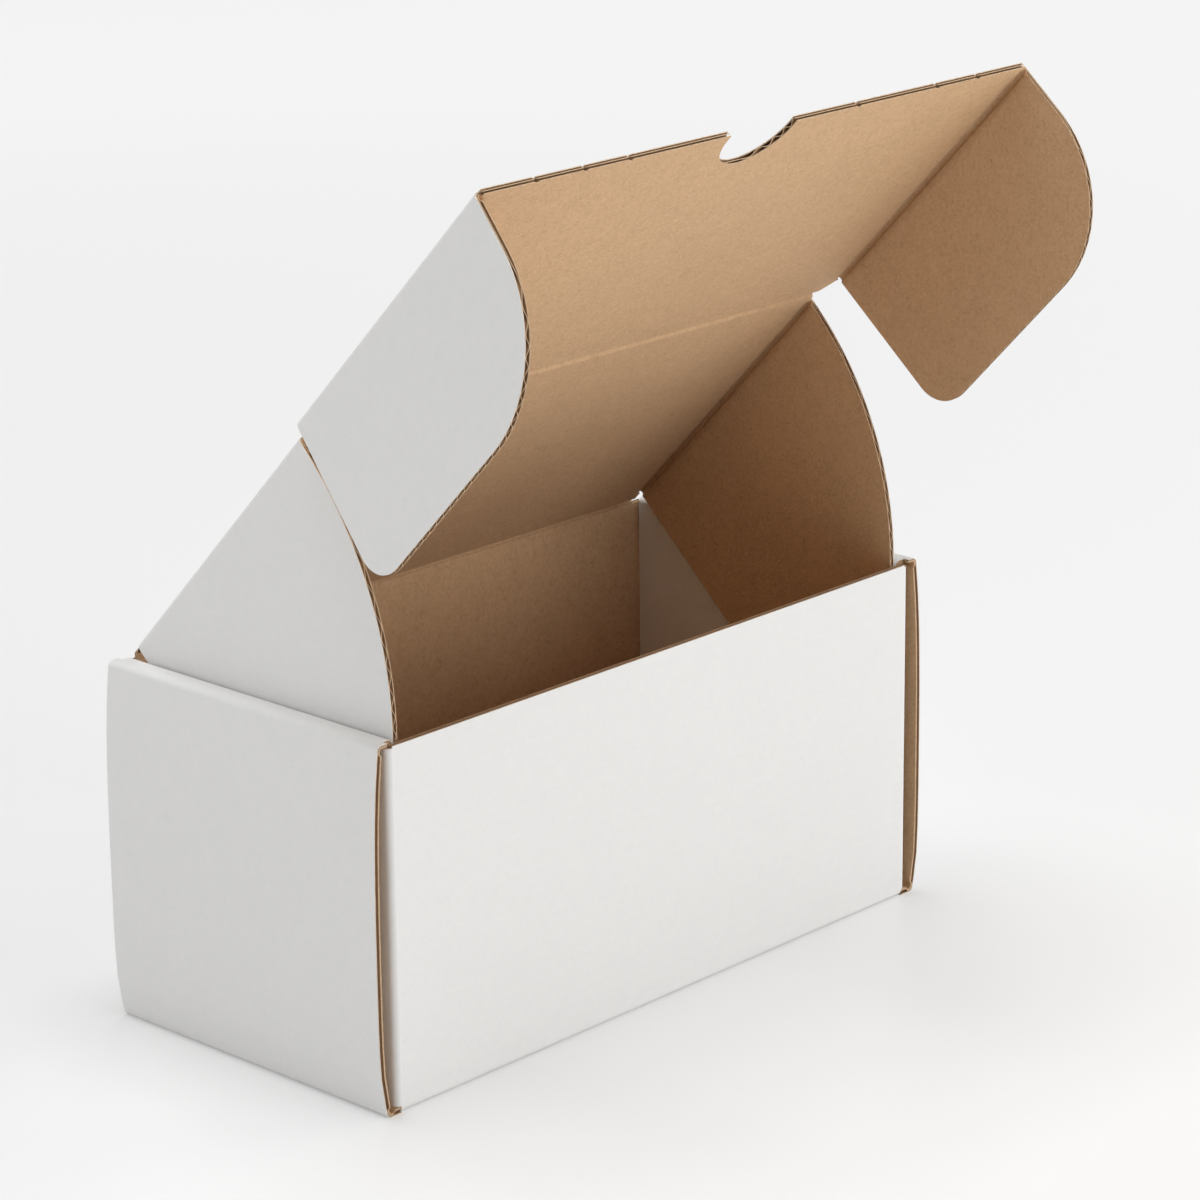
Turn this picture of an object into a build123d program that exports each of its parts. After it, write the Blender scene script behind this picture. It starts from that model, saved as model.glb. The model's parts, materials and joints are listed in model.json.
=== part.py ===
"""Corrugated mailer box with rolled end walls, standing with its lid half open.

One sheet of E-flute board is folded up into a tray, and carries on past the tray's
back wall as a hinged lid. The lid has two side flaps that hang inside the end walls,
and a front flap with two rounded ears that slide in beside the front wall.

Frame: X along the box, -Y to the front, +Z up. The origin is the middle of the
tray's underside, on the surface that the box stands on.
"""

import os
from math import cos, radians, sin

from build123d import *

# The board
BOARD = 1.6  # thickness
LAYER_GAP = 0.1  # between two layers that lie against each other
CREASE_GAP = 0.15  # from the crease of a side flap or ear to the board beside it
HINGE_GAP = 0.06  # the same at the crushed creases of the lid and the front flap

# The tray
LENGTH = 200.0  # over the end walls, at their folds
DEPTH = 96.0  # front face to back face
FRONT_HEIGHT = 94.0  # underside to the front wall's top edge
RIM_RISE = 1.2  # the rolled end walls stand this much above the front wall
END_BULGE = 2.2  # how far the outer end panels bow out
EAR_SLACK = 0.2  # the slot for an ear beside a corner flap is this much wider than the ear
CORNER_SPLIT = 8.0  # between the two corner flaps that meet beside an end wall
TAB_WIDTH = 26.0  # tabs under the inner end panels, in slots in the bottom
TAB_SPACING = 46.0
TAB_CLEARANCE = 0.4  # at each end of a tab
TAB_RECESS = 0.2  # a tab ends this far above the underside

# The lid and its side flaps
LID_ANGLE = 46.5  # degrees from the shut lid up to the half-open lid
SIDE_CLEARANCE = 0.3  # between a side flap and the inner end panel beside it
FLAP_FOOT = 12.5  # between a side flap and the bottom, with the lid shut
FLAP_BACK = 4.0  # a side flap starts this far from the hinge
FLAP_SWING_CLEARANCE = 0.4  # between a side flap's curved edge and the front wall
FLAP_CORNER = 7.0

# The front flap and its ears
FRONT_CLEARANCE = 0.3  # between the shut front flap and the front wall
FRONT_FOOT = 1.7  # the shut front flap ends this far above the underside
SHOULDER = 4.9  # the front flap has its full width this far from the lid's crease
EAR_CLEARANCE = 0.4  # between an ear and the corner flap that it slides along
EAR_DEPTH = 46.0
EAR_SETBACK = 1.2  # an ear stops short of the front flap's free edge
EAR_LID_CORNER = 9.0
EAR_FREE_CORNER = 32.0
EAR_FLARE = {"left": 9.0, "right": 3.0}  # degrees that each ear leans out from square
NOTCH_RADIUS = 11.8  # thumb notch in the free edge
NOTCH_DEPTH = 13.2
NOTCH_OFFSET = -3.0  # from the middle of the free edge

# The bow of an outer end panel: share of its height, share of the bulge
BOW = ((0, 0), (0.04, 0.45), (0.14, 0.9), (0.4, 1), (0.75, 0.82), (1, 0))

# Tray: places measured from the middle, and depths in from an end wall's fold
half_length = LENGTH / 2
front = -DEPTH / 2
back = DEPTH / 2
rim = FRONT_HEIGHT + RIM_RISE
corner_face = half_length - BOARD - (BOARD + EAR_SLACK)  # outer face of a corner flap
corner_inner = corner_face - BOARD
panel_face = corner_inner - LAYER_GAP  # outer face of an inner end panel
panel_inner = panel_face - BOARD
layer_foot = BOARD + LAYER_GAP  # height at which the layers on the bottom start
corner_top = rim - BOARD - LAYER_GAP
corner_flap = (DEPTH - CORNER_SPLIT) / 2  # length, from the front or back face

# The lid's hinge and the front flap's crease, both in the middle of the board
hinge_y = back - BOARD / 2
hinge_z = FRONT_HEIGHT + LAYER_GAP + BOARD / 2
back_height = hinge_z - HINGE_GAP - BOARD / 2
lid_reach = hinge_y - (front - FRONT_CLEARANCE - BOARD / 2)
front_reach = hinge_z - FRONT_FOOT
flap_reach = hinge_y - (front + BOARD) - FLAP_SWING_CLEARANCE
flap_depth = hinge_z - BOARD / 2 - BOARD - FLAP_FOOT  # down from the lid's inner face
flap_crease = panel_inner - SIDE_CLEARANCE - BOARD  # inner face of a side flap
ear_crease = corner_face + EAR_CLEARANCE  # inner face of an ear
lid_half = flap_crease - CREASE_GAP
front_half = ear_crease - CREASE_GAP
ear_length = front_reach - SHOULDER - EAR_SETBACK

# Directions of the half-open lid
lid_angle = radians(LID_ANGLE)
along = Vector(0, -cos(lid_angle), sin(lid_angle))  # from the hinge to the front flap
inward = Vector(0, -sin(lid_angle), -cos(lid_angle))  # from the lid towards the tray
hinge = Vector(0, hinge_y, hinge_z)
crease = hinge + along * lid_reach


def side_plane(origin, flap_side, flare):
    """Inner face of a flap: X along its crease, Y down the flap, from `origin`."""
    lean = radians(flare)
    down = inward * cos(lean) + Vector(flap_side, 0, 0) * sin(lean)
    return Plane(origin=origin, x_dir=along, z_dir=along.cross(down))


with BuildPart() as tray:
    # right end wall: out from the bottom, up in a bow, over the top and down inside
    bow = [
        (half_length + share * END_BULGE, BOARD + level * (rim - 2 * BOARD))
        for level, share in BOW
    ]
    inner_bow = [(x - BOARD, z) for x, z in bow]
    with BuildSketch(Plane.XZ):
        with BuildLine():
            CenterArc((half_length - BOARD, BOARD), BOARD, start_angle=-90, arc_size=90)
            Spline(*bow)
            CenterArc((half_length - BOARD, rim - BOARD), BOARD, start_angle=0, arc_size=90)
            Line((half_length - BOARD, rim), (panel_face, rim))
            CenterArc((panel_face, rim - BOARD), BOARD, start_angle=90, arc_size=90)
            Polyline(
                (panel_inner, rim - BOARD),
                (panel_inner, layer_foot),
                (panel_face, layer_foot),
                (panel_face, rim - BOARD),
                inner_bow[-1],
            )
            Spline(*inner_bow)
            Polyline(
                inner_bow[0],
                (corner_inner, BOARD),
                (corner_inner, 0),
                (half_length - BOARD, 0),
            )
        make_face()
    extrude(amount=DEPTH / 2, both=True)

    # the roll stops short where the front and back walls stand between its ends
    with BuildSketch(Plane.XY.offset(layer_foot)):
        with GridLocations(0, DEPTH - layer_foot, 1, 2):
            with Locations((corner_face + LAYER_GAP, 0)):
                Rectangle(
                    corner_face - panel_inner + 2 * LAYER_GAP,
                    layer_foot,
                    align=(Align.MAX, Align.CENTER),
                )
    extrude(amount=rim - layer_foot, mode=Mode.SUBTRACT)

    # right upright corners: each wall turns in beside the end wall
    with BuildSketch(Plane.XY.offset(layer_foot)):
        with BuildLine():
            CenterArc((corner_inner, front + BOARD), BOARD, start_angle=-90, arc_size=90)
            Polyline(
                (corner_face, front + BOARD),
                (corner_face, front + corner_flap),
                (corner_inner, front + corner_flap),
                (corner_inner, front),
            )
        make_face()
    corner = extrude(amount=corner_top - layer_foot)
    mirror(corner, about=Plane.XZ)

    # left end wall and corners
    mirror(about=Plane.YZ)

    # front wall, bottom and back wall in one U
    with BuildSketch(Plane.YZ):
        with BuildLine():
            FilletPolyline(
                (front, FRONT_HEIGHT), (front, 0), (back, 0), (back, back_height), radius=BOARD
            )
            Polyline(
                (back, back_height),
                (back - BOARD, back_height),
                (back - BOARD, BOARD),
                (front + BOARD, BOARD),
                (front + BOARD, FRONT_HEIGHT),
                (front, FRONT_HEIGHT),
            )
        make_face()
    extrude(amount=corner_inner, both=True)

    # crushed top edge of the back wall, along the lid's hinge
    with BuildSketch(Plane.YZ):
        with BuildLine():
            Polyline(
                (back, back_height),
                (hinge_y, hinge_z - HINGE_GAP),
                (back - BOARD, back_height),
                (back, back_height),
            )
        make_face()
    extrude(amount=lid_half, both=True)

    # tabs under the inner end panels, standing in slots in the bottom
    with BuildSketch():
        with GridLocations(panel_face + panel_inner, TAB_SPACING, 2, 2):
            Rectangle(BOARD + 2 * LAYER_GAP, TAB_WIDTH + 2 * TAB_CLEARANCE)
    extrude(amount=BOARD, mode=Mode.SUBTRACT)
    with BuildSketch(Plane.XY.offset(TAB_RECESS)):
        with GridLocations(panel_face + panel_inner, TAB_SPACING, 2, 2):
            Rectangle(BOARD, TAB_WIDTH)
    extrude(amount=layer_foot - TAB_RECESS)

with BuildPart() as lid:
    # a flat panel with a crushed edge at each end, sketched in section
    near, far = HINGE_GAP, lid_reach - HINGE_GAP
    with BuildSketch(Plane(origin=hinge, x_dir=along, z_dir=(1, 0, 0))):
        with BuildLine():
            Polyline(
                (near, 0),
                (near + BOARD / 2, BOARD / 2),
                (far - BOARD / 2, BOARD / 2),
                (far, 0),
                (far - BOARD / 2, -BOARD / 2),
                (near + BOARD / 2, -BOARD / 2),
                (near, 0),
            )
        make_face()
    extrude(amount=lid_half, both=True)

with BuildPart() as front_flap:
    root = HINGE_GAP + BOARD / 2
    with BuildSketch(Plane(origin=crease, x_dir=(1, 0, 0), z_dir=inward)):
        with BuildLine():
            Polyline(
                (-lid_half, root),
                (lid_half, root),
                (front_half, SHOULDER),
                (front_half, front_reach),
                (-front_half, front_reach),
                (-front_half, SHOULDER),
                (-lid_half, root),
            )
        make_face()
        with Locations((NOTCH_OFFSET, front_reach - NOTCH_DEPTH + NOTCH_RADIUS)):
            Circle(NOTCH_RADIUS, mode=Mode.SUBTRACT)
            Rectangle(
                2 * NOTCH_RADIUS,
                NOTCH_DEPTH,
                align=(Align.CENTER, Align.MIN),
                mode=Mode.SUBTRACT,
            )
    extrude(amount=BOARD / 2, both=True)
    # its crushed edge, along the lid's
    with BuildSketch(Plane(origin=crease, x_dir=along, z_dir=(1, 0, 0))):
        with BuildLine():
            Polyline((HINGE_GAP, 0), (root, BOARD / 2), (root, -BOARD / 2), (HINGE_GAP, 0))
        make_face()
    extrude(amount=lid_half, both=True)

pieces = {"tray": tray, "lid": lid, "front_flap": front_flap}

for side_name, side in (("left", -1), ("right", 1)):
    flap_origin = hinge + inward * (BOARD / 2) + Vector(side * flap_crease, 0, 0)
    with BuildPart() as lid_flap:
        with BuildSketch(side_plane(flap_origin, side, flare=0)) as outline:
            with Locations((FLAP_BACK, CREASE_GAP)):
                Rectangle(lid_reach, flap_depth - CREASE_GAP, align=Align.MIN)
            # its free edge swings round the hinge, clear of the front wall
            with Locations((0, -BOARD / 2)):
                Circle(flap_reach, mode=Mode.INTERSECT)
            fillet(outline.vertices().group_by(Axis.Y)[-1], FLAP_CORNER)
        extrude(amount=side * BOARD)
    pieces[f"lid_flap_{side_name}"] = lid_flap

    ear_origin = crease + inward * (BOARD / 2) + Vector(side * ear_crease, 0, 0)
    with BuildPart() as ear:
        with BuildSketch(side_plane(ear_origin, side, EAR_FLARE[side_name])) as outline:
            with Locations((SHOULDER, CREASE_GAP)):
                Rectangle(ear_length, EAR_DEPTH - CREASE_GAP, align=Align.MIN)
            lid_corner, free_corner = outline.vertices().group_by(Axis.Y)[-1].sort_by(Axis.X)
            fillet(free_corner, EAR_FREE_CORNER)
            fillet(outline.vertices().sort_by_distance(lid_corner)[0], EAR_LID_CORNER)
        extrude(amount=side * BOARD)
    pieces[f"ear_{side_name}"] = ear

os.makedirs("parts", exist_ok=True)
for name, piece in pieces.items():
    piece.part.label = name
    export_step(piece.part, f"parts/{name}.step")
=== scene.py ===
"""Looks of the corrugated mailer box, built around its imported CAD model.

Every panel is real E-flute board: a white outer liner, a fluted medium and a
kraft inner liner, each a closed sheet of its own. A panel is drawn flat, as s
along its route and w across it, and Route bends it into place. Lengths are in
millimetres until a mesh is made.
"""

import json
import math

import bmesh
import bpy
import numpy as np
from mathutils import Matrix, Vector
from mathutils.geometry import delaunay_2d_cdt


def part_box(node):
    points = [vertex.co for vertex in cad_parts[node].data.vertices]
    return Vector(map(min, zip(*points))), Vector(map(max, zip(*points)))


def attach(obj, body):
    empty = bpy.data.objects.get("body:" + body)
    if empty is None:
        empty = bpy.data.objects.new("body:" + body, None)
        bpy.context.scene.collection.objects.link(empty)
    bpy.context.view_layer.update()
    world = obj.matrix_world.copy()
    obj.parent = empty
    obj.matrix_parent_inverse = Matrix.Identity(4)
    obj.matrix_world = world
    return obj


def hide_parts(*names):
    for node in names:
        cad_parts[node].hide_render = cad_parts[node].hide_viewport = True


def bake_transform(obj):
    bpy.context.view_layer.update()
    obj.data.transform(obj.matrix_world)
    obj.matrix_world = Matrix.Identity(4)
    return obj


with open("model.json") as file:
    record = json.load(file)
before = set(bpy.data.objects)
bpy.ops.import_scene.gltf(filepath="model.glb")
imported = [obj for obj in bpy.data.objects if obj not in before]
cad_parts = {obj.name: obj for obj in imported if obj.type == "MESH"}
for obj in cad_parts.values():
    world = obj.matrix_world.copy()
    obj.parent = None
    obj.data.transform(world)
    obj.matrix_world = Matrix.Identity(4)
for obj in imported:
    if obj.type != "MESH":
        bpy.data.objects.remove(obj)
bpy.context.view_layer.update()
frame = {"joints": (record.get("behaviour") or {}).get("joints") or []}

# ---------------------------------------------------------------- sizes, in mm
MM = 0.001
BOARD = 1.6
LINER = 0.24
MEDIUM = 0.22
PITCH = 3.3  # of the flutes
WAVE_STEPS = 12  # rows of vertices in one flute
CRUSHED = 0.85  # board left at a crease
CRUSH_FLAT, CRUSH_END = 0.5, 1.2  # from a crease to the groove's foot and lip
NARROW, WIDE = 1.3, 3.0  # half widths of a crease that lies flat, and of a square fold
CELL = 8.0  # spacing of vertices on a flat panel
ARC_STEPS = 10  # rows in a square fold
GROOVE_STEPS = 4  # rows across one side of a groove
ONE_GROOVE = 2 * BOARD + 1  # folds closer than this share a groove
SAME_ROW, SNAP, EDGE, SLIVER = 1e-3, 1e-5, 1e-4, 0.02  # too near to count as apart
WELD, SPECK = 2e-6, 1e-6  # in metres: points that are one, and edges too short to keep
SHARP_DEGREES = 38

LAYER_GAP = 0.1
END_BULGE = 2.2
BULGE_RISE, BULGE_FALL = 0.07, 6  # how soon the bulge is full, and how late it goes
FRONT_DROP = 1.2  # from the rolled ends' top to the front wall's
BACK_DROP = 0.86  # from the lid's hinge to the back wall's cut edge beside it
CORNER_FACE = 3.4  # outer face of a corner flap, in from the end wall's fold
CORNER_SPLIT = 8.0
TAB_WIDTH, TAB_SPACING, TAB_CLEARANCE, TAB_RECESS = 26.0, 46.0, 0.4, 0.2
FLAP_BACK, FLAP_CORNER, FLAP_FOOT = 4.0, 7.0, 12.5
FLAP_SWING = 2.0  # from the front face to a lid flap's curved edge, at the hinge's level
SHOULDER, EAR_SETBACK, EAR_DEPTH = 4.9, 1.2, 46.0
EAR_LID_CORNER, EAR_FREE_CORNER = 9.0, 32.0
NOTCH_RADIUS, NOTCH_DEPTH, NOTCH_OFFSET = 11.8, 13.2, -3.0
NICKS_RIGHT, NICKS_LEFT = (78, 62, 32), (-49, -64, -80)  # along the front flap's free edge
NICK_MOUTH, NICK_FLOOR, NICK_DEPTH = 0.7, 0.3, 0.5  # two half widths and a depth

X, Y, Z = np.eye(3)
joints = {j["name"]: j for j in frame["joints"]}


def joint_at(name):
    return np.array(joints[name]["pos_m"]) / MM


def node_box(name):
    return [np.array(corner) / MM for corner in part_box(name)]


tray_low, tray_high = node_box("tray")
front, back, rim = tray_low[1], tray_high[1], tray_high[2]
half_length = tray_high[0] - END_BULGE
front_top = rim - FRONT_DROP
corner_face = half_length - CORNER_FACE
corner_inner = corner_face - BOARD
panel_face = corner_inner - LAYER_GAP
panel_inner = panel_face - BOARD
layer_foot = BOARD + LAYER_GAP
corner_top = rim - BOARD - LAYER_GAP

hinge, crease = joint_at("lid_hinge"), joint_at("front_flap_fold")
lid_reach = np.linalg.norm(crease - hinge)
along = (crease - hinge) / lid_reach  # from the hinge to the front flap
inward = np.cross(X, along)  # from the lid towards the tray
lid_half = node_box("lid")[1][0]
front_half = node_box("front_flap")[1][0]
front_reach = (node_box("front_flap")[1] - crease - BOARD / 2 * -inward)[2] / along[2]
flap_crease = joint_at("lid_flap_right_fold")[0]
ear_crease = joint_at("ear_right_fold")[0]
flap_reach = hinge[1] - front - FLAP_SWING
flap_depth = hinge[2] - BOARD * 1.5 - FLAP_FOOT
ear_end = front_reach - EAR_SETBACK


# ---------------------------------------------------------------- board, flat to folded
def turned_in(heading, outward, degrees):
    """The heading and the outward side of a board after a fold inwards."""
    turn = math.radians(degrees)
    return (
        heading * math.cos(turn) - outward * math.sin(turn),
        outward * math.cos(turn) + heading * math.sin(turn),
    )


class Route:
    """The outer face of a board in section, from `start` along `heading`.

    Steps are ("run", length) and ("fold", radius, degrees), which turns inwards.
    """

    def __init__(self, start, heading, outward, across, steps, bow=None):
        self.across, self.bow, self.stretches, self.length = across, bow, [], 0.0
        point, heading, outward = (np.array(v, float) for v in (start, heading, outward))
        for step in steps:
            size = step[1] if step[0] == "run" else step[1] * math.radians(step[2])
            self.stretches.append((self.length, step, point, heading, outward))
            self.length += size
            if step[0] == "run":
                point = point + heading * size
            else:
                centre = point - outward * step[1]
                heading, outward = turned_in(heading, outward, step[2])
                point = centre + outward * step[1]

    def folds(self):
        """(start, end) of each fold; folds that share a groove count as one."""
        found = []
        for begin, step, *_ in self.stretches:
            if step[0] == "fold":
                end = begin + step[1] * math.radians(step[2])
                if found and begin - found[-1][1] < ONE_GROOVE:
                    found[-1] = (found[-1][0], end)
                else:
                    found.append((begin, end))
        return found

    def height(self, s):
        """Thickness of the board at s, less where a fold crushes it."""
        gap = np.full(len(s), np.inf)
        for begin, end in self.folds():
            gap = np.minimum(gap, np.maximum(np.maximum(begin - s, s - end), 0))
        share = np.clip((gap - CRUSH_FLAT) / (CRUSH_END - CRUSH_FLAT), 0, 1)
        return CRUSHED + (BOARD - CRUSHED) * share * share * (3 - 2 * share)

    def place(self, s, w, d):
        """Points at s along, w across and d in from the outer face."""
        made = np.zeros((len(s), 3))
        for k, (begin, step, point, heading, outward) in enumerate(self.stretches):
            last = k == len(self.stretches) - 1
            end = np.inf if last else self.stretches[k + 1][0]
            here = (s >= begin if k else s > -np.inf) & (s < end)
            t = (s[here] - begin)[:, None]
            if step[0] == "run":
                face, normal = point + heading * t, outward
            else:
                normal = outward * np.cos(t / step[1]) + heading * np.sin(t / step[1])
                face = point - outward * step[1] + normal * step[1]
            depth = d[here][:, None]
            if self.bow:
                depth = depth - self.bow(s[here])[:, None]
            made[here] = face - normal * depth + self.across * w[here][:, None]
        return made

    def rows(self, low, high):
        """Values of s that carry rows of vertices: close together at folds and grooves."""
        marks = {low, high}
        for begin, step, *_ in self.stretches:
            if step[0] == "fold":
                size = step[1] * math.radians(step[2])
                steps = max(2, round(ARC_STEPS * step[2] / 90))
                marks |= {begin + size * k / steps for k in range(steps + 1)}
        for begin, end in self.folds():
            for k in range(GROOVE_STEPS + 1):
                gap = CRUSH_FLAT + (CRUSH_END - CRUSH_FLAT) * k / GROOVE_STEPS
                marks |= {begin - gap, end + gap}
        kept = [m for m in sorted(marks) if low <= m <= high]
        rows = [kept[0]]
        for mark in kept[1:]:
            parts = max(1, round((mark - rows[-1]) / CELL))
            if mark - rows[-1] > SAME_ROW:
                start = rows[-1]
                rows += [start + (mark - start) * k / parts for k in range(1, parts + 1)]
        return rows


def arc(centre, radius, first, last, steps=24):
    """Points round a centre, from one angle to another in degrees."""
    return [
        (
            centre[0] + radius * math.cos(math.radians(a)),
            centre[1] + radius * math.sin(math.radians(a)),
        )
        for a in np.linspace(first, last, steps)
    ]


def inside(points, outline):
    """Which points lie inside the outline, by counting the edges they pass."""
    held = np.zeros(len(points), bool)
    for (s0, w0), (s1, w1) in zip(outline, outline[1:] + outline[:1]):
        if w0 != w1:
            crosses = (points[:, 1] < w0) != (points[:, 1] < w1)
            at = s0 + (points[:, 1] - w0) * (s1 - s0) / (w1 - w0)
            held ^= crosses & (points[:, 0] < at)
    return held


def liner(route, outline, outer, inner):
    """A sheet of paper cut to the outline, between two depths.

    Tags: 0 for the outer face, 1 for the inner face, 2 for the cut edges.
    """
    spots = np.array(outline)
    (low_s, low_w), (high_s, high_w) = spots.min(0), spots.max(0)
    rows = route.rows(low_s, high_s)
    across = max(1, round((high_w - low_w) / CELL))
    columns = np.linspace(low_w, high_w, across + 1)
    points = [Vector(p) for p in outline]
    edges = [(k, (k + 1) % len(outline)) for k in range(len(outline))]
    for s in rows[1:-1]:
        first = len(points)
        points += [Vector((s, w)) for w in columns]
        edges += [(first + k, first + k + 1) for k in range(across)]
    flat, _, faces, *_ = delaunay_2d_cdt(points, edges, [], 0, SNAP)
    flat = np.array([tuple(p) for p in flat])
    faces = np.array([f for f in faces if len(f) == 3])
    faces = faces[inside(flat[faces].mean(1), outline)]
    used = np.unique(faces)
    slot = np.full(len(flat), -1)
    slot[used] = np.arange(len(used))
    flat, faces = flat[used], slot[faces]
    s, w = flat.T
    points = np.vstack([route.place(s, w, outer(s)), route.place(s, w, inner(s))])
    count = len(flat)
    seen = {}
    for a, b, c in faces.tolist():
        for edge in ((a, b), (b, c), (c, a)):
            seen[edge] = True
    rims = [(a, b) for a, b in seen if (b, a) not in seen]
    made = [tuple(f) for f in faces.tolist()]
    made += [(c + count, b + count, a + count) for a, b, c in faces.tolist()]
    made += [(b, a, a + count, b + count) for a, b in rims]
    tags = [0] * len(faces) + [1] * len(faces) + [2] * len(rims)
    return points, made, tags


def spans(outline, u, axis):
    """Where the line at u across the flutes lies inside the outline: (from, to) pairs."""
    hits = []
    for p, q in zip(outline, outline[1:] + outline[:1]):
        if (p[axis] < u) != (q[axis] < u):
            share = (u - p[axis]) / (q[axis] - p[axis])
            hits.append(p[1 - axis] + share * (q[1 - axis] - p[1 - axis]))
    hits.sort()
    return [pair for pair in zip(hits[::2], hits[1::2]) if pair[1] - pair[0] > SLIVER]


def fluting(route, outline, axis):
    """The wavy medium. axis is the direction across the flutes: 0 for s, 1 for w.

    Tags: 0 for the wave's faces, 1 for its cut ends.
    """
    values = [p[axis] for p in outline]
    low, high = min(values) + EDGE, max(values) - EDGE
    count = max(2, round((high - low) / PITCH * WAVE_STEPS))
    strips, running = [], []
    for u in np.linspace(low, high, count + 1):
        here = spans(outline, u, axis)
        if len(here) != len(running):
            strips += running
            running = [[] for _ in here]
        for strip, span in zip(running, here):
            strip.append((u, span))
    strips += running
    lengths = [p[1 - axis] for p in outline]
    first, last = min(lengths), max(lengths)
    if axis == 1:
        grid = np.array(route.rows(first, last))
    else:
        grid = np.linspace(first, last, 2 + round((last - first) / CELL))
    points, faces, cut = [], [], set()
    for strip in strips:
        if len(strip) < 2:
            continue
        n, m = len(strip), len(grid)
        u = np.repeat([row[0] for row in strip], m)
        v = np.concatenate([np.clip(grid, *row[1]) for row in strip])
        s, w = (u, v) if axis == 0 else (v, u)
        room = route.height(s) - 2 * LINER - MEDIUM
        middle = LINER + MEDIUM / 2 + room * (0.5 - 0.5 * np.cos(2 * math.pi * u / PITCH))
        base = sum(len(p) for p in points)
        points += [
            route.place(s, w, middle - MEDIUM / 2),
            route.place(s, w, middle + MEDIUM / 2),
        ]
        under = n * m

        def at(i, j, side):
            return base + side * under + i * m + j

        for i in range(n - 1):
            for j in range(m - 1):
                faces.append((at(i, j, 0), at(i, j + 1, 0), at(i + 1, j + 1, 0), at(i + 1, j, 0)))
                faces.append((at(i, j, 1), at(i + 1, j, 1), at(i + 1, j + 1, 1), at(i, j + 1, 1)))
            for j in (0, m - 1):
                faces.append((at(i, j, 0), at(i + 1, j, 0), at(i + 1, j, 1), at(i, j, 1)))
                cut.add(len(faces) - 1)
        for j in range(m - 1):
            for i in (0, n - 1):
                faces.append((at(i, j, 0), at(i, j + 1, 0), at(i, j + 1, 1), at(i, j, 1)))
                cut.add(len(faces) - 1)
    return np.vstack(points), faces, [int(k in cut) for k in range(len(faces))]


def make(name, shape, materials, rides):
    """A Blender object from points in mm, riding on a body, or fixed where it lies when rides is
    not a body's name.
    """
    points, faces, tags = shape
    mesh = bpy.data.meshes.new(name)
    mesh.from_pydata((points * MM).tolist(), [], faces)
    for material in materials:
        mesh.materials.append(material)
    mesh.polygons.foreach_set("material_index", tags)
    work = bmesh.new()
    work.from_mesh(mesh)
    bmesh.ops.remove_doubles(work, verts=work.verts, dist=WELD)
    bmesh.ops.dissolve_degenerate(work, edges=work.edges, dist=SPECK)
    bmesh.ops.recalc_face_normals(work, faces=work.faces)
    work.to_mesh(mesh)
    work.free()
    mesh.polygons.foreach_set("use_smooth", [True] * len(mesh.polygons))
    mesh.set_sharp_from_angle(angle=math.radians(SHARP_DEGREES))
    piece = bpy.data.objects.new(name, mesh)
    bpy.context.scene.collection.objects.link(piece)
    if isinstance(rides, str):
        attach(piece, rides)
    else:
        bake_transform(piece)
    return piece


# ---------------------------------------------------------------- materials
WHITE = (0.80, 0.795, 0.775)
KRAFT = (0.60, 0.38, 0.205)
ROUGH_CUT = 0.85  # roughness of the paper's back and cut edges
ROUGH_SPREAD = 0.06
GRAIN_HEIGHT, WASHBOARD_HEIGHT = 0.00006, 0.00003  # in metres


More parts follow.
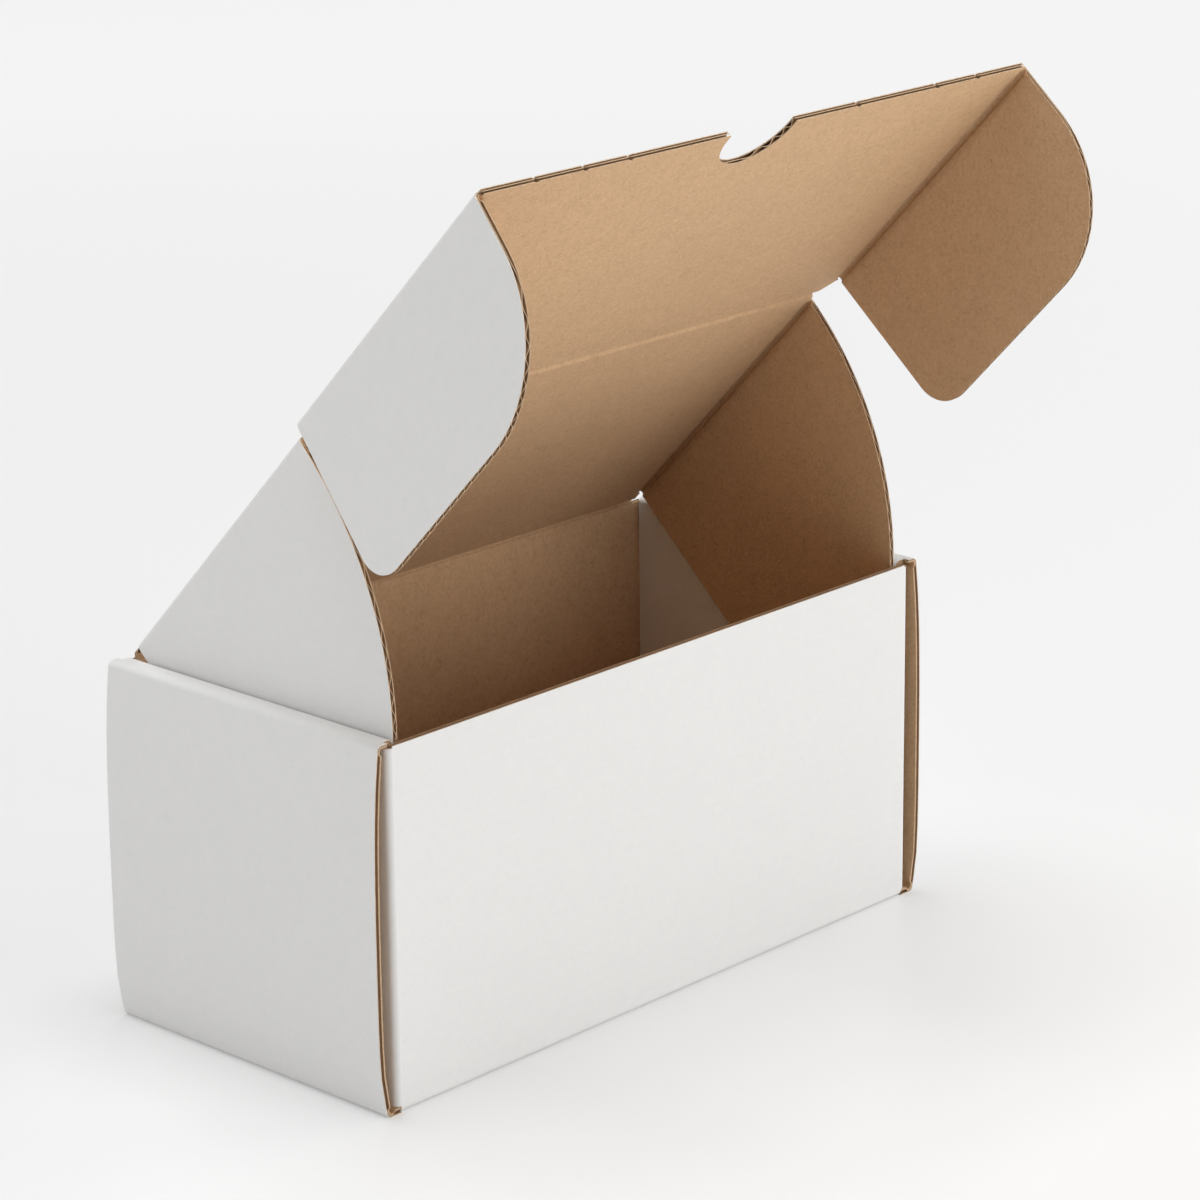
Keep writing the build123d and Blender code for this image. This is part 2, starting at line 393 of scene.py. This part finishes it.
def shade(name, base, roughness, mottle, grain, flecks=0.0, flute=None, washboard=0.0):
    """Paper. mottle: two colours that cloud the base; flecks: share of dark fibres.

    flute: the direction across the flutes that show through as a faint washboard.
    """
    material = bpy.data.materials.new(name)
    material.use_nodes = True
    nodes, links = material.node_tree.nodes, material.node_tree.links
    shader = nodes["Principled BSDF"]
    shader.inputs["Specular IOR Level"].default_value = 0.3
    place = nodes.new("ShaderNodeTexCoord").outputs["Object"]

    def noise(scale, detail, rough=0.6, stretch=None):
        vector = place
        if stretch:
            mapping = nodes.new("ShaderNodeMapping")
            mapping.inputs["Scale"].default_value = stretch
            links.new(place, mapping.inputs["Vector"])
            vector = mapping.outputs["Vector"]
        node = nodes.new("ShaderNodeTexNoise")
        node.inputs["Scale"].default_value = scale
        node.inputs["Detail"].default_value = detail
        node.inputs["Roughness"].default_value = rough
        links.new(vector, node.inputs["Vector"])
        return node.outputs["Fac"]

    def ramp(factor, low, high):
        node = nodes.new("ShaderNodeMapRange")
        node.inputs["From Min"].default_value = low
        node.inputs["From Max"].default_value = high
        links.new(factor, node.inputs["Value"])
        return node.outputs["Result"]

    def mix(factor, first, second):
        node = nodes.new("ShaderNodeMix")
        node.data_type = "RGBA"
        links.new(factor, node.inputs["Factor"])
        for socket, colour in (("A", first), ("B", second)):
            target = next(i for i in node.inputs if i.name == socket and i.type == "RGBA")
            if isinstance(colour, tuple):
                target.default_value = (*colour, 1)
            else:
                links.new(colour, target)
        return next(o for o in node.outputs if o.type == "RGBA")

    def times(first, second):
        node = nodes.new("ShaderNodeMath")
        node.operation = "MULTIPLY"
        for socket, value in zip(node.inputs, (first, second)):
            if isinstance(value, float):
                socket.default_value = value
            else:
                links.new(value, socket)
        return node.outputs[0]

    cloud = ramp(noise(60, 5, 0.75), 0.36, 0.64)
    patch = ramp(noise(330, 4, 0.7), 0.38, 0.62)
    fine = ramp(noise(1150, 5, 0.75), 0.36, 0.64)
    colour = mix(times(cloud, 0.5), base, mottle[0])
    colour = mix(times(patch, 0.8), colour, mottle[0])
    colour = mix(times(fine, 0.8), colour, mottle[1])
    if flecks:
        fibre = ramp(noise(900, 2, stretch=(1, 0.25, 1)), 0.66, 0.76)
        other = ramp(noise(800, 2, stretch=(0.25, 1, 1)), 0.67, 0.77)
        spot = ramp(noise(640, 1), 0.755, 0.79)
        dark = tuple(c * 0.55 for c in base)
        colour = mix(times(fibre, flecks), colour, dark)
        colour = mix(times(other, flecks), colour, tuple(min(1, c * 1.35) for c in base))
        colour = mix(times(spot, flecks), colour, tuple(c * 0.3 for c in base))
    links.new(colour, shader.inputs["Base Color"])
    rough = nodes.new("ShaderNodeMapRange")
    rough.inputs["To Min"].default_value = roughness - ROUGH_SPREAD
    rough.inputs["To Max"].default_value = roughness + ROUGH_SPREAD
    links.new(fine, rough.inputs["Value"])
    links.new(rough.outputs["Result"], shader.inputs["Roughness"])
    bump = nodes.new("ShaderNodeBump")
    bump.inputs["Distance"].default_value = GRAIN_HEIGHT
    bump.inputs["Strength"].default_value = grain
    links.new(fine, bump.inputs["Height"])
    if flute is not None:
        dot = nodes.new("ShaderNodeVectorMath")
        dot.operation = "DOT_PRODUCT"
        dot.inputs[1].default_value = tuple(np.array(flute) * 2 * math.pi / (PITCH * MM))
        links.new(place, dot.inputs[0])
        wave = nodes.new("ShaderNodeMath")
        wave.operation = "SINE"
        links.new(dot.outputs["Value"], wave.inputs[0])
        ripple = nodes.new("ShaderNodeBump")
        ripple.inputs["Distance"].default_value = WASHBOARD_HEIGHT
        ripple.inputs["Strength"].default_value = washboard
        links.new(wave.outputs[0], ripple.inputs["Height"])
        links.new(bump.outputs["Normal"], ripple.inputs["Normal"])
        bump = ripple
    links.new(bump.outputs["Normal"], shader.inputs["Normal"])
    return material


back_paper = shade(
    "liner_back", (0.42, 0.27, 0.16), ROUGH_CUT, [(0.38, 0.24, 0.14), (0.46, 0.30, 0.18)], 0.5
)
white_edge = shade(
    "white_liner_edge", (0.68, 0.56, 0.43), ROUGH_CUT,
    [(0.58, 0.45, 0.33), (0.76, 0.66, 0.55)], 0.8,
)
kraft_edge = shade(
    "kraft_liner_edge", (0.55, 0.38, 0.23), ROUGH_CUT,
    [(0.44, 0.29, 0.17), (0.64, 0.46, 0.30)], 0.8,
)
medium_paper = shade(
    "fluting_paper", (0.34, 0.205, 0.11), ROUGH_CUT,
    [(0.30, 0.18, 0.10), (0.40, 0.25, 0.14)], 0.6,
)


def papers(flute):
    """White and kraft faces whose faint washboard runs across the given direction."""
    key = "_".join(str(round(c, 2)) for c in flute)
    white = shade(
        f"white_liner_{key}", WHITE, 0.52, [(0.765, 0.765, 0.755), (0.81, 0.80, 0.79)],
        0.25, 0.05, flute, 0.35,
    )
    kraft = shade(
        f"kraft_liner_{key}", KRAFT, 0.72, [(0.50, 0.31, 0.165), (0.68, 0.46, 0.28)],
        0.6, 0.4, flute, 0.30,
    )
    return white, kraft


wall_papers = papers(Y + Z)
end_papers = papers(Y)
corner_papers = papers(Z)
lid_papers = papers(along)


def board(name, route, outline, axis, faces, rides, replaces=None):
    """The three layers of a panel or a crease."""
    white, kraft = faces
    made = []
    for layer, shape, materials in (
        (
            "white_liner",
            liner(route, outline, lambda s: 0 * s, lambda s: 0 * s + LINER),
            [white, back_paper, white_edge],
        ),
        ("fluting", fluting(route, outline, axis), [medium_paper, kraft_edge]),
        (
            "kraft_liner",
            liner(route, outline, lambda s: route.height(s) - LINER, route.height),
            [back_paper, kraft, kraft_edge],
        ),
    ):
        made.append(make(f"{name}_{layer}", shape, materials, rides))
    if replaces:
        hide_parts(replaces)
    return made


# ---------------------------------------------------------------- tray
turn = BOARD * math.pi / 2


def tray_walls():
    """Front wall, bottom and back wall in one U, with slots for the end walls' tabs."""
    floor_run, back_run = back - front - 2 * BOARD, hinge[2] - NARROW - BOARD
    route = Route(
        (0, front, front_top), -Z, -Y, X,
        [
            ("run", front_top - BOARD), ("fold", BOARD, 90), ("run", floor_run),
            ("fold", BOARD, 90), ("run", back_run),
        ],
    )
    floor_start = front_top - BOARD + turn
    end = floor_start + floor_run + turn + back_run
    beside = end + NARROW - BACK_DROP
    slot_inner = panel_inner - LAYER_GAP
    middle = floor_start + floor_run / 2
    half_slot = TAB_WIDTH / 2 + TAB_CLEARANCE
    right = [(0, corner_inner)]
    for centre in (middle - TAB_SPACING / 2, middle + TAB_SPACING / 2):
        right += [
            (centre - half_slot, corner_inner), (centre - half_slot, slot_inner),
            (centre + half_slot, slot_inner), (centre + half_slot, corner_inner),
        ]
    right += [(beside, corner_inner), (beside, lid_half), (end, lid_half)]
    left = [(s, -w) for s, w in reversed(right)]
    board("tray_walls", route, right + left, 0, wall_papers, "tray", "tray")


def bulge(start, size):
    """How far an end wall's outer panel bows out: most of it low down, none at the top."""

    def bow(s):
        level = np.clip((s - start) / size, 0, 1)
        return END_BULGE * (1 - np.exp(-level / BULGE_RISE)) * (1 - level**BULGE_FALL)

    return bow


def tray_end(side_name, side):
    """Outer panel, roll over the top, inner panel and tabs."""
    start_run = half_length - BOARD - corner_inner
    rise = rim - 2 * BOARD
    top_run = half_length - BOARD - panel_face
    drop = rim - BOARD - layer_foot
    tab = layer_foot - TAB_RECESS
    route = Route(
        (side * corner_inner, 0, 0), side * X, -Z, Y,
        [
            ("run", start_run), ("fold", BOARD, 90), ("run", rise), ("fold", BOARD, 90),
            ("run", top_run), ("fold", BOARD, 90), ("run", drop + tab),
        ],
        bow=bulge(start_run + turn, rise),
    )
    half = (back - front) / 2
    inner_half = half - layer_foot
    cut = start_run + turn + rise + turn + (half_length - BOARD - corner_face) - LAYER_GAP
    foot = route.length - tab
    far = [(0, half), (cut, half), (cut, inner_half), (foot, inner_half)]
    for low in (TAB_SPACING / 2, -TAB_SPACING / 2):
        far += [
            (foot, low + TAB_WIDTH / 2), (route.length, low + TAB_WIDTH / 2),
            (route.length, low - TAB_WIDTH / 2), (foot, low - TAB_WIDTH / 2),
        ]
    outline = far + [(foot, -inner_half), (cut, -inner_half), (cut, -half), (0, -half)]
    board(f"tray_end_{side_name}", route, outline, 1, end_papers, "tray")


def corner_flap(side_name, side, wall_name, wall):
    """Turns in from the front or back wall, between the end wall's two panels."""
    run = (back - front - CORNER_SPLIT) / 2 - BOARD
    face = front if wall < 0 else back
    route = Route(
        (side * corner_inner, face, 0), side * X, wall * Y, Z,
        [("fold", BOARD, 90), ("run", run)],
    )
    end = route.length
    outline = [(0, layer_foot), (end, layer_foot), (end, corner_top), (0, corner_top)]
    board(f"corner_flap_{wall_name}_{side_name}", route, outline, 1, corner_papers, "tray")


# ---------------------------------------------------------------- lid and flaps
def flat_route(axis_point, heading, outward, across, radius):
    """A flat panel; s is measured from the axis."""
    return Route(axis_point + outward * radius, heading, outward, across, [("run", 1.0)])


def crease_piece(
    name, parent, child, spot, heading, outward, across, radius, degrees, half_width, span, axis
):
    """The band round a fold's axis, between the widths in span.

    The parent, the child and two points on planes that would leave both its seams rigid are worked
    out and passed on, but nothing reads them: the band is fixed where it lies.
    """
    route = Route(
        spot + outward * radius - heading * half_width, heading, outward, across,
        [("run", half_width), ("fold", radius, degrees), ("run", half_width)],
    )
    after, _ = turned_in(heading, outward, degrees)
    reach = half_width - (BOARD - radius) * math.tan(math.radians(degrees) / 2)
    rides = parent, child, spot - heading * reach, spot + after * reach
    low, high = span
    shape = [(0, low), (route.length, low), (route.length, high), (0, high)]
    board(name, route, shape, axis, lid_papers, rides)


def lid():
    half_board = BOARD / 2
    to_lid = 90 - math.degrees(math.asin(along[2]))
    crease_piece(
        "lid_hinge_crease", "tray", "lid", hinge, Z, Y, X, half_board, to_lid, NARROW,
        (-lid_half, lid_half), 0,
    )
    crease_piece(
        "front_flap_crease", "lid", "front_flap", crease, along, -inward, X, half_board, 0.0,
        NARROW, (-lid_half, lid_half), 0,
    )
    inset = flap_crease - WIDE
    root_end = math.sqrt(flap_reach**2 - half_board**2)
    right = [
        (NARROW, lid_half), (FLAP_BACK, lid_half), (FLAP_BACK, inset), (root_end, inset),
        (root_end, lid_half), (lid_reach - NARROW, lid_half),
    ]
    outline = right + [(s, -w) for s, w in reversed(right)]
    route = flat_route(hinge, along, -inward, X, half_board)
    board("lid", route, outline, 0, lid_papers, "lid", "lid")


def nicked(spots):
    """The small steps that the die's holding tags leave in the front flap's free edge."""
    return [
        (front_reach - depth, w + across)
        for w in spots
        for across, depth in (
            (NICK_MOUTH, 0), (NICK_FLOOR, NICK_DEPTH), (-NICK_FLOOR, NICK_DEPTH), (-NICK_MOUTH, 0),
        )
    ]


def front_flap():
    inset = ear_crease - WIDE
    slope = (front_half - lid_half) / (SHOULDER - BOARD / 2)
    lip = lid_half + (NARROW - BOARD / 2) * slope
    right = [
        (NARROW, lip), (SHOULDER, front_half), (SHOULDER, inset), (ear_end, inset),
        (ear_end, front_half), (front_reach, front_half),
    ]
    left = [(s, -w) for s, w in reversed(right)]
    notch = arc(
        (front_reach - NOTCH_DEPTH + NOTCH_RADIUS, NOTCH_OFFSET), NOTCH_RADIUS, 270, 90, steps=40
    )
    mouth = [
        (front_reach, NOTCH_OFFSET - NOTCH_RADIUS), *notch,
        (front_reach, NOTCH_OFFSET + NOTCH_RADIUS),
    ]
    route = flat_route(crease, along, -inward, X, BOARD / 2)
    outline = right + nicked(NICKS_RIGHT) + mouth[::-1] + nicked(NICKS_LEFT) + left
    board("front_flap", route, outline, 0, lid_papers, "front_flap", "front_flap")


def side_panel(name, parent, spot, side, degrees, low, high, outline):
    """A panel folded in from the lid's or front flap's side, with its crease."""
    heading, outward = side * X, -inward
    crease_piece(
        f"{name}_crease", parent, name, spot, heading, outward, along, BOARD, degrees, WIDE,
        (low, high), 1,
    )
    route = flat_route(spot, *turned_in(heading, outward, degrees), along, BOARD)
    board(name, route, outline, 1, lid_papers, name, name)


def rounded(centre, radius, first, last, steps):
    """An arc for a side panel, whose outline is (depth, along the lid), not the reverse."""
    return [(depth, place) for place, depth in arc(centre, radius, first, last, steps)]


def lid_flap(side_name, side):
    """Its free edge is a circle round the hinge, which is half a board above the crease."""
    up = BOARD / 2
    spot = hinge + inward * up + side * flap_crease * X
    corner = flap_depth - FLAP_CORNER
    far = math.sqrt((flap_reach - FLAP_CORNER) ** 2 - (corner + up) ** 2)
    meet = math.degrees(math.atan2(corner + up, far))
    top = math.degrees(math.asin((WIDE + up) / flap_reach))
    root_end = math.sqrt(flap_reach**2 - up**2)
    points = [(WIDE, FLAP_BACK), (corner, FLAP_BACK)]
    points += rounded((FLAP_BACK + FLAP_CORNER, corner), FLAP_CORNER, 180, 90, 14)
    points += rounded((far, corner), FLAP_CORNER, 90, meet, 10)
    points += rounded((0, -up), flap_reach, meet, top, 60)
    side_panel(f"lid_flap_{side_name}", "lid", spot, side, 90, FLAP_BACK, root_end, points)


def ear(side_name, side):
    """It leans out as far as its joint says it can unfold before it lies flat."""
    spot = crease + inward * (BOARD / 2) + side * ear_crease * X
    degrees = -joints[f"ear_{side_name}_fold"]["range_deg"][0]
    points = [(WIDE, SHOULDER)]
    for middle, radius, first, last, steps in (
        (SHOULDER + EAR_LID_CORNER, EAR_LID_CORNER, 180, 90, 16),
        (ear_end - EAR_FREE_CORNER, EAR_FREE_CORNER, 90, 0, 40),
    ):
        points += rounded((middle, EAR_DEPTH - radius), radius, first, last, steps)
    points += [(WIDE, ear_end)]
    side_panel(f"ear_{side_name}", "front_flap", spot, side, degrees, SHOULDER, ear_end, points)


# ---------------------------------------------------------------- studio
FLOOR_SIZE = 14
FLOOR_WHITE = (0.90, 0.90, 0.90, 1)
FLOOR_SEEN = (0.94, 0.94, 0.94, 1)  # what the camera sees of it, away from the shadow
WORLD_LIGHT, WORLD_SEEN = 0.22, 0.90
CAMERA_SPOT = (-0.76056, -0.74162, 0.43657)
CAMERA_RIGHT, CAMERA_UP = (0.68262, -0.73070, -0.01072), (0.22954, 0.20046, 0.95243)
SENSOR, LENS, CLIP_END = 36, 129.94, 50
LAMPS_FACE = Vector((0, 0, 0.1))
LAMPS = (  # name, place in metres, side in metres, watts
    ("low_front", (0.4, -1.9, 0.35), 1.4, 19.5),
    ("high_front", (0.75, -1.5, 1.5), 1.2, 1.5),
    ("top", (0.0, 0.2, 4.0), 2.6, 108.0),
    ("right", (1.9, -0.8, 0.6), 1.4, 16.0),
    ("left", (-1.9, 0.6, 0.5), 1.4, 11.0),
)


def add_camera(scene):
    camera = bpy.data.objects.new("camera", bpy.data.cameras.new("camera"))
    scene.collection.objects.link(camera)
    camera.data.sensor_width, camera.data.lens = SENSOR, LENS
    camera.data.clip_end = CLIP_END
    right, up = Vector(CAMERA_RIGHT), Vector(CAMERA_UP)
    backward = right.cross(up)
    camera.matrix_world = Matrix(
        [[right[k], up[k], backward[k], CAMERA_SPOT[k]] for k in range(3)] + [[0, 0, 0, 1]]
    )
    scene.camera = camera


def add_floor():
    """A white floor that keeps the object's shadow, and glows to the camera away from it."""
    bpy.ops.mesh.primitive_plane_add(size=FLOOR_SIZE)
    floor = bpy.context.object
    floor.name = "floor"
    material = bpy.data.materials.new("floor")
    material.use_nodes = True
    nodes, links = material.node_tree.nodes, material.node_tree.links
    shader = nodes["Principled BSDF"]
    shader.inputs["Base Color"].default_value = FLOOR_WHITE
    shader.inputs["Roughness"].default_value = 0.35
    shader.inputs["Specular IOR Level"].default_value = 0.25
    glow = nodes.new("ShaderNodeEmission")
    glow.inputs["Color"].default_value = FLOOR_SEEN
    glow.inputs["Strength"].default_value = 1.0
    place = nodes.new("ShaderNodeTexCoord")
    reach = nodes.new("ShaderNodeVectorMath")
    reach.operation = "LENGTH"
    links.new(place.outputs["Object"], reach.inputs[0])
    share = nodes.new("ShaderNodeMapRange")
    for socket, value in (
        ("From Min", 0.12), ("From Max", 1.2), ("To Min", 0.25), ("To Max", 0.85),
    ):
        share.inputs[socket].default_value = value
    links.new(reach.outputs["Value"], share.inputs["Value"])
    weight = nodes.new("ShaderNodeMath")
    weight.operation = "MULTIPLY"
    path = nodes.new("ShaderNodeLightPath")
    links.new(path.outputs["Is Camera Ray"], weight.inputs[0])
    links.new(share.outputs["Result"], weight.inputs[1])
    blend = nodes.new("ShaderNodeMixShader")
    links.new(weight.outputs[0], blend.inputs[0])
    links.new(shader.outputs[0], blend.inputs[1])
    links.new(glow.outputs[0], blend.inputs[2])
    links.new(blend.outputs[0], nodes["Material Output"].inputs["Surface"])
    floor.data.materials.append(material)


def add_lights(scene):
    """A dim white world that looks pale to the camera, and square soft lamps."""
    world = bpy.data.worlds.new("studio")
    scene.world = world
    world.use_nodes = True
    nodes, links = world.node_tree.nodes, world.node_tree.links
    nodes["Background"].inputs["Color"].default_value = (1, 1, 1, 1)
    seen = nodes.new("ShaderNodeMapRange")
    seen.inputs["To Min"].default_value = WORLD_LIGHT
    seen.inputs["To Max"].default_value = WORLD_SEEN
    path = nodes.new("ShaderNodeLightPath")
    links.new(path.outputs["Is Camera Ray"], seen.inputs["Value"])
    links.new(seen.outputs["Result"], nodes["Background"].inputs["Strength"])

    for name, spot, size, power in LAMPS:
        data = bpy.data.lights.new(name, "AREA")
        data.shape, data.size, data.energy = "SQUARE", size, power
        lamp = bpy.data.objects.new(name, data)
        lamp.location = spot
        lamp.rotation_euler = (LAMPS_FACE - Vector(spot)).to_track_quat("-Z", "Y").to_euler()
        scene.collection.objects.link(lamp)


tray_walls()
for side_name, side in (("left", -1), ("right", 1)):
    tray_end(side_name, side)
    for wall_name, wall in (("front", -1), ("back", 1)):
        corner_flap(side_name, side, wall_name, wall)
    lid_flap(side_name, side)
    ear(side_name, side)
lid()
front_flap()

add_camera(bpy.context.scene)
add_floor()
add_lights(bpy.context.scene)
bpy.context.scene.view_settings.view_transform = "Standard"
